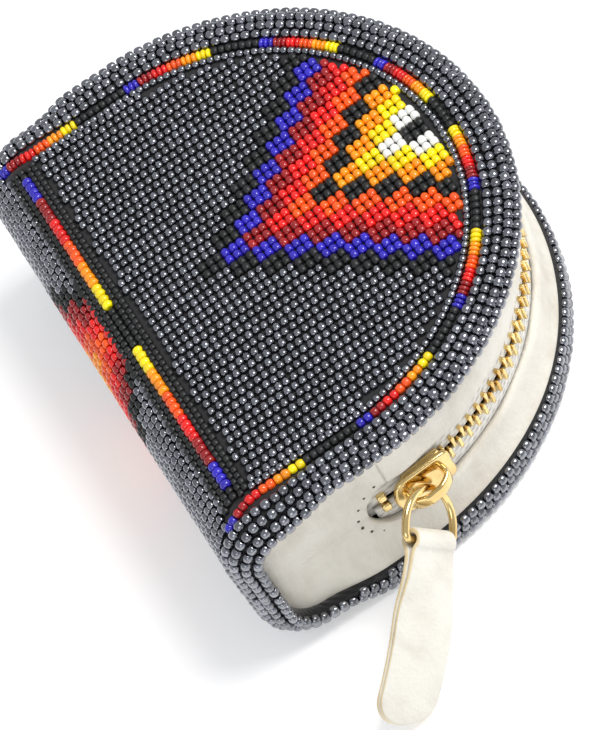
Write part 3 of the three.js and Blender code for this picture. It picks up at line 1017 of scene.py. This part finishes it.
def teeth(materials):
    start = CLOSED - 1 / CHAIN_RADIUS
    pitch = TOOTH_PITCH / CHAIN_RADIUS
    count = int((math.pi - start) / pitch)
    for side, name in ((1, "front"), (-1, "back")):
        angles = [start + (i + (0.75 if side > 0 else 0.25)) * pitch for i in range(count)]
        obj = joined(f"{name}_teeth", [tooth_part(a, side) for a in angles], [materials["brass"]])
        if side > 0:
            open_across_arc(obj, "front_zip_teeth")
        else:
            place_piece(obj, "back_half", ["back_zip_teeth"])


def stops(materials):
    for node in ("front_top_stop", "back_top_stop", "bottom_stop"):
        low, high = (np.array(v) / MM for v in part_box(node))
        middle, half = (low + high) / 2, (high - low) / 2
        outline = oval(half[1], half[2], 20, 4.0)
        points, faces = rounded_slab(outline, -half[0], half[0], 0.35, 3)
        world = np.stack([middle[0] + points[:, 2], middle[1] + points[:, 0], middle[2] + points[:, 1]], -1)
        obj = joined(f"{node}_clip", [(world, faces)], [materials["brass"]])
        place_piece(obj, "back_half", [node])


# ------------ slider, ring and tab

PLATE_TOP = 53.05  # the slider's outer face, from the round end's centre
PIVOT = 54.35  # the ring's axis


def slider_space(points):
    """From the slider's own axes (out, along the zip, across it) to the purse's."""
    points = np.asarray(points, float)
    c, s = math.cos(CLOSED), math.sin(CLOSED)
    return np.stack([points[:, 0] * c - points[:, 1] * s, points[:, 0] * s + points[:, 1] * c,
                     MIDDLE + points[:, 2]], -1)


def slider(materials):
    nose = -6.5
    plan = [(nose, 0), (nose + 0.5, 2.4), (nose + 1.7, 4.6), (-2.6, 4.95), (1.5, 4.6), (4.4, 4.3), (6.1, 3.7),
            (6.5, 2.2), (6.35, 0)]
    outline = smooth_loop(plan + [(a, -b) for a, b in plan[-2:0:-1]], 56)
    parts = []
    for low, high, edge in ((51.85, 53.05, 0.42), (47.25, 48.45, 0.42)):
        points, faces = rounded_slab(outline, low, high, edge, 4)
        crown = 0.0
        if low > 50:
            reach = np.hypot(points[:, 0] / 6.5, points[:, 1] / 5.0)
            crown = 0.25 * np.clip(1 - reach, 0, 1) * (points[:, 2] > 52.4)
        world = np.stack([points[:, 2] + crown, points[:, 0], points[:, 1]], -1)
        parts.append((slider_space(world), faces))
    wedge, faces = rounded_slab(oval(1.35, 0.98, 20, 2.6), 48.35, 51.95, 0.1, 1)
    parts.append((slider_space(np.stack([wedge[:, 2], wedge[:, 0] - 4.15, wedge[:, 1]], -1)), faces))
    for sign in (-1, 1):
        for low, high in ((50.9, 51.95), (48.35, 48.98)):
            rail = oval(4.25, 0.5, 20, 5.0)
            points, faces = rounded_slab(rail, low, high, 0.08, 1)
            world = np.stack([points[:, 2], points[:, 0] + 1.0, points[:, 1] + sign * 3.75], -1)
            parts.append((slider_space(world), faces))
    body = joined("slider_body", parts, [materials["gold"]])
    place_piece(body, "slider", ["zip_slider"])
    top = PLATE_TOP + 2 * 0.55 + 1.5 + 0.6
    foot = [(52.6, -4.05, 0), (54.2, -4.15, 0), (55.3, -3.55, 0), (top, -1.6, 0)]
    arch = smooth_loop(foot + [(top + 0.05, 0, 0)] + [(r, -a, 0) for r, a, _ in foot[::-1]], 40, False)
    path = slider_space(arch)
    f = np.linspace(-1, 1, len(path))
    waist = np.stack([1.12 - 0.2 * np.cos(f * math.pi / 2), np.ones(len(path))], -1)
    leaning = (math.cos(CLOSED + 0.6), math.sin(CLOSED + 0.6), 0)
    bridge = sweep("slider_bridge", path, oval(1.6, 0.6, 20, 3.2), leaning, [materials["gold"]], scale=waist)
    place_piece(bridge, "slider")


def pull_axes():
    yaw, swing = math.radians(30), math.radians(49)
    across = np.array((0, math.sin(yaw), -math.cos(yaw)))
    flat = np.array((0, -math.cos(yaw), -math.sin(yaw)))
    along = np.array((math.cos(swing), 0, 0)) + flat * math.sin(swing)
    return across, along, np.cross(across, along)


def pull_space(points):
    """From the ring's own axes (across, towards the tab, out of its plane) to the purse's."""
    across, along, normal = pull_axes()
    points = np.asarray(points, float)
    local = points[:, :1] * across + points[:, 1:2] * along + points[:, 2:] * normal
    return slider_space(local + np.array((PIVOT, 0, 0)))


RING_OUTER = 15.2
WIRE = 1.5
RING_LENGTH = 9.7


def ring(materials):
    radius = (RING_OUTER - WIRE) / 2
    corner = 1.5
    pts = [(radius * math.cos(a), radius + radius * math.sin(a))
           for a in np.linspace(math.pi, 2 * math.pi, 40)]
    pts += [(radius - corner + corner * math.cos(a), RING_LENGTH - corner + corner * math.sin(a))
            for a in np.linspace(0, math.pi / 2, 10)]
    pts += [(x, RING_LENGTH) for x in np.linspace(radius - corner, corner - radius, 10)[1:-1]]
    pts += [(corner - radius + corner * math.cos(a), RING_LENGTH - corner + corner * math.sin(a))
            for a in np.linspace(math.pi / 2, math.pi, 10)]
    path = np.array(pts)
    local = np.hstack([path, np.zeros((len(path), 1))])
    obj = sweep("ring_wire", pull_space(local), oval(WIRE / 2, WIRE / 2, 16), pull_axes_world()[2],
                [materials["gold"]], closed=True)
    place_piece(obj, "ring", ["pull_ring"])


def pull_axes_world():
    c, s = math.cos(CLOSED), math.sin(CLOSED)
    turn = np.array(((c, -s, 0), (s, c, 0), (0, 0, 1)))
    return [turn @ a for a in pull_axes()]


def tab(materials):
    """One strip folded round the ring's bar: an eye, then two layers down to a round tip. It bends and twists
    a little towards the tip."""
    layer = 1.2
    half = RING_OUTER / 2 - WIRE - 0.35
    length = 35.0
    eye = WIRE / 2 + 0.35 + layer / 2
    lay = layer / 2 + 0.02
    drop = np.linspace(length, 3.2, 60)
    down = [(y, lay) for y in drop]
    turn = [(eye * math.cos(a), eye * math.sin(a)) for a in np.linspace(0.75, 2 * math.pi - 0.75, 34)]
    up = [(y, -lay) for y in drop[::-1]]
    line = smooth_loop(down[:-1] + [(2.3, lay + 0.12)] + turn + [(2.3, -lay - 0.12)] + up[1:],
                       3 * 76, False)
    keep = line[:, 0]
    hump = 0.5 * np.exp(-((keep - 12) / 4.5) ** 2)
    line = np.stack([np.zeros(len(line)), keep, line[:, 1] + hump], -1)
    tip = np.sqrt(np.clip(half ** 2 - (keep - (length - half)) ** 2, 0.0004, None))
    shape = np.where(keep > length - half, tip,
                     half - 0.22 * np.exp(-((keep - 8) / 5) ** 2) - 0.5 * np.exp(-((keep + 1) / 2.5) ** 2))
    columns = 28
    section = oval(1.0, layer / 2, columns, 7.0)
    tangent = unit(np.gradient(line, axis=0))
    normal = np.cross(tangent, np.array((1.0, 0, 0)))
    points = np.array([p + np.array((1.0, 0, 0)) * u * w + n * v
                       for p, n, w in zip(line, normal, shape) for u, v in section])
    hang = np.clip((points[:, 1] - 3) / (length - 3), 0, 1)
    turn = math.radians(23) * np.sin(np.clip((points[:, 1] - 1) / 16, 0, 1) * math.pi / 2) ** 2
    x, z = points[:, 0].copy(), points[:, 2].copy()
    points = np.stack([x * np.cos(turn) + z * np.sin(turn), points[:, 1] + RING_LENGTH - 1.9 * hang ** 2,
                       z * np.cos(turn) - x * np.sin(turn) + 5.9 * hang ** 1.7], -1)
    faces = tube_faces(len(line), columns)
    at_edge = np.abs(section[:, 0]) > 0.985
    raw = at_edge & np.roll(at_edge, -1)
    which = [int(raw[f[0] % columns]) for f in faces[:-2]] + [1, 1]
    obj = link_mesh("tab_strip", pull_space(points), faces,
                    [materials["tab_leather"], materials["raw_edge"]], which)
    tidy_normals(obj)
    place_piece(obj, "tab", ["pull_tab"])


# ------------ carried-over CAD nodes


def carry_over(node, material):
    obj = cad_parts[node]
    obj.data.materials.clear()
    obj.data.materials.append(material)


def floor():
    n = Nodes("studio_floor")
    n.colour(n.ramp(n.noise(3, 2), (0.3, (0.86, 0.86, 0.87)), (0.7, (0.9, 0.9, 0.9))))
    n.set(Roughness=0.8, Emission_Color=(1, 1, 1, 1), Emission_Strength=0.28)
    size = 3000
    obj = link_mesh("studio_floor", [(-size, -size, 0), (size, -size, 0), (size, size, 0), (-size, size, 0)],
                    [(0, 1, 2, 3)], [n.material], smooth=False)


camera()
studio()
floor()
mats = make_materials()
for side, half in ((1, "front"), (-1, "back")):
    body = f"{half}_half"
    backing(side, body, mats, f"{half}_bead_ground")
    field_beads(side).make(f"{half}_field_beads", body, "gunmetal_beads", mats, [f"{half}_bead_panel"])
    lane_beads(side).make(f"{half}_lane_beads", body, "accent_beads", mats, [f"{half}_accent_line"], 0.03)
    edging_beads(side).make(f"{half}_edging_beads", body, "gunmetal_beads", mats, (), 0.03)
    rim_beads(side).make(f"{half}_rim_beads", body, "gunmetal_beads", mats, [f"{half}_rim_beading"], 0.05, 12)
    spine_beads(side).make(f"{half}_spine_beads", body, "gunmetal_beads", mats,
                           [f"{half}_spine_beadwork", f"{half}_spine_line"], 0.03)
    carry_over(f"{half}_stiffener", mats["board"])
    carry_over(f"{half}_lining", mats["lining"])
gusset([mats["leather"]])
needle_hole_shade_dots(mats)
slot_end_cloth(mats)
tapes(mats)
teeth(mats)
stops(mats)
slider(mats)
ring(mats)
tab(mats)
